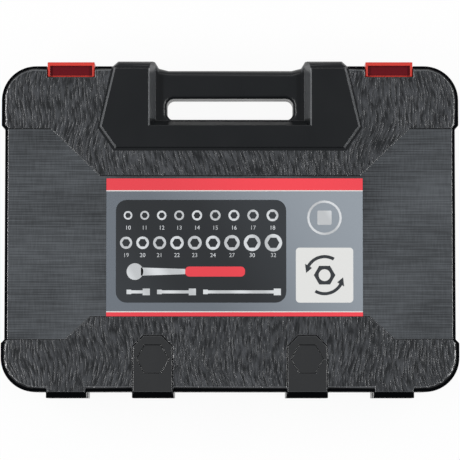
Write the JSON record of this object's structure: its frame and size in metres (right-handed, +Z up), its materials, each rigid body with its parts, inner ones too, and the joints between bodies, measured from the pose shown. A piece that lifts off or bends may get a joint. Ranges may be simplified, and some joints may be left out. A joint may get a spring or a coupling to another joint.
{
  "type": "socket wrench set in case",
  "caption": "Half-inch drive socket wrench set in a hinged, blow-moulded carrying case with a handle and two snap latches.",
  "frame": {"origin": "under the middle of the case's outline, on the surface that the closed case lies on", "axes": "+X along the width, +Y to the handle and latches, +Z up through the lid"},
  "size_m": [0.384, 0.283, 0.076],
  "materials": {
    "case_plastic": "grained and satin black, blow-moulded",
    "tray_plastic": "satin black, blow-moulded",
    "latch_plastic": "glossy red, injection-moulded",
    "label_film": "printed film",
    "hinge_steel": "plain drawn steel",
    "polished_steel": "polished steel",
    "chrome_plate": "satin chrome plate",
    "plug_rubber": "matte black",
    "grip_rubber": "matte black",
    "grip_plastic": "satin red"
  },
  "bodies": {
    "base": {"base_shell": "case_plastic", "tool_tray": "tray_plastic", "hinge_pin_left": "hinge_steel", "hinge_pin_right": "hinge_steel", "socket_14": "chrome_plate", "socket_13": "chrome_plate", "socket_12": "chrome_plate", "socket_11": "chrome_plate", "socket_10": "chrome_plate", "socket_15": "chrome_plate", "socket_16": "chrome_plate", "socket_17": "chrome_plate", "socket_18": "chrome_plate", "socket_19": "chrome_plate", "socket_20": "chrome_plate", "socket_21": "chrome_plate", "socket_22": "chrome_plate", "socket_23": "chrome_plate", "socket_24": "chrome_plate", "socket_27": "chrome_plate", "socket_30": "chrome_plate", "socket_32": "chrome_plate", "spark_plug_socket_16": "chrome_plate", "spark_plug_socket_21": "chrome_plate", "plug_insert_16": "plug_rubber", "plug_insert_21": "plug_rubber", "extension_75": "chrome_plate", "extension_125": "chrome_plate", "extension_250": "chrome_plate", "extension_detent_balls": "polished_steel", "extension_detent_springs": "hinge_steel", "joint_socket_yoke": "chrome_plate", "ratchet_body": "chrome_plate", "head_cover": "chrome_plate", "cover_screws": "polished_steel", "grip_core": "grip_rubber", "grip_inlays": "grip_plastic", "grip_collar": "grip_plastic", "sliding_bar": "chrome_plate", "bar_stop_balls": "polished_steel"},
    "lid": {"lid_shell": "case_plastic", "lid_liner": "tray_plastic", "contents_label": "label_film"},
    "latch_left": {"latch_left": "latch_plastic"},
    "latch_right": {"latch_right": "latch_plastic"},
    "ratchet_drive": {"ratchet_drive_gear": "hinge_steel", "drive_detent_ball": "polished_steel", "button_spring": "hinge_steel"},
    "release_button": {"release_button": "polished_steel"},
    "reversing_lever": {"reversing_lever": "polished_steel", "ratchet_pawl": "hinge_steel"},
    "joint_cross": {"joint_cross": "chrome_plate"},
    "joint_drive": {"joint_drive_yoke": "chrome_plate", "joint_detent_ball": "polished_steel", "joint_detent_spring": "hinge_steel"},
    "slider": {"slider_head": "chrome_plate", "slider_detent_ball": "polished_steel", "slider_detent_spring": "hinge_steel"}
  },
  "joints": [
    {"name": "lid_hinge", "type": "hinge", "parent": "base", "child": "lid", "pos_m": [0, -0.1385, 0.048], "axis": [1, 0, 0], "range_deg": [0, 110]},
    {"name": "left_latch_hinge", "type": "hinge", "parent": "base", "child": "latch_left", "pos_m": [-0.1335, 0.138, 0.024], "axis": [-1, 0, 0], "range_deg": [0, 110]},
    {"name": "right_latch_hinge", "type": "hinge", "parent": "base", "child": "latch_right", "pos_m": [0.1335, 0.138, 0.024], "axis": [-1, 0, 0], "range_deg": [0, 110]},
    {"name": "ratchet_spin", "type": "hinge", "parent": "base", "child": "ratchet_drive", "pos_m": [0.124, 0.0173, 0.045], "axis": [0, 0, 1], "continuous": true},
    {"name": "release_press", "type": "slide", "parent": "ratchet_drive", "child": "release_button", "axis": [0, 0, -1], "range_m": [0, 0.0025], "stiffness_N_per_m": 400, "springref_m": -0.002, "deforming": ["button_spring"]},
    {"name": "direction_switch", "type": "hinge", "parent": "base", "child": "reversing_lever", "pos_m": [0.107, 0.0173, 0.045], "axis": [0, 0, 1], "range_deg": [-15, 15]},
    {"name": "joint_pitch", "type": "hinge", "parent": "base", "child": "joint_cross", "pos_m": [0.112, -0.0625, 0.042], "axis": [0, 1, 0], "range_deg": [-25, 25]},
    {"name": "joint_yaw", "type": "hinge", "parent": "joint_cross", "child": "joint_drive", "pos_m": [0.112, -0.0625, 0.042], "axis": [0, 0, 1], "range_deg": [-25, 25]},
    {"name": "slider_travel", "type": "slide", "parent": "base", "child": "slider", "axis": [1, 0, 0], "range_m": [-0.095, 0.095]}
  ]
}
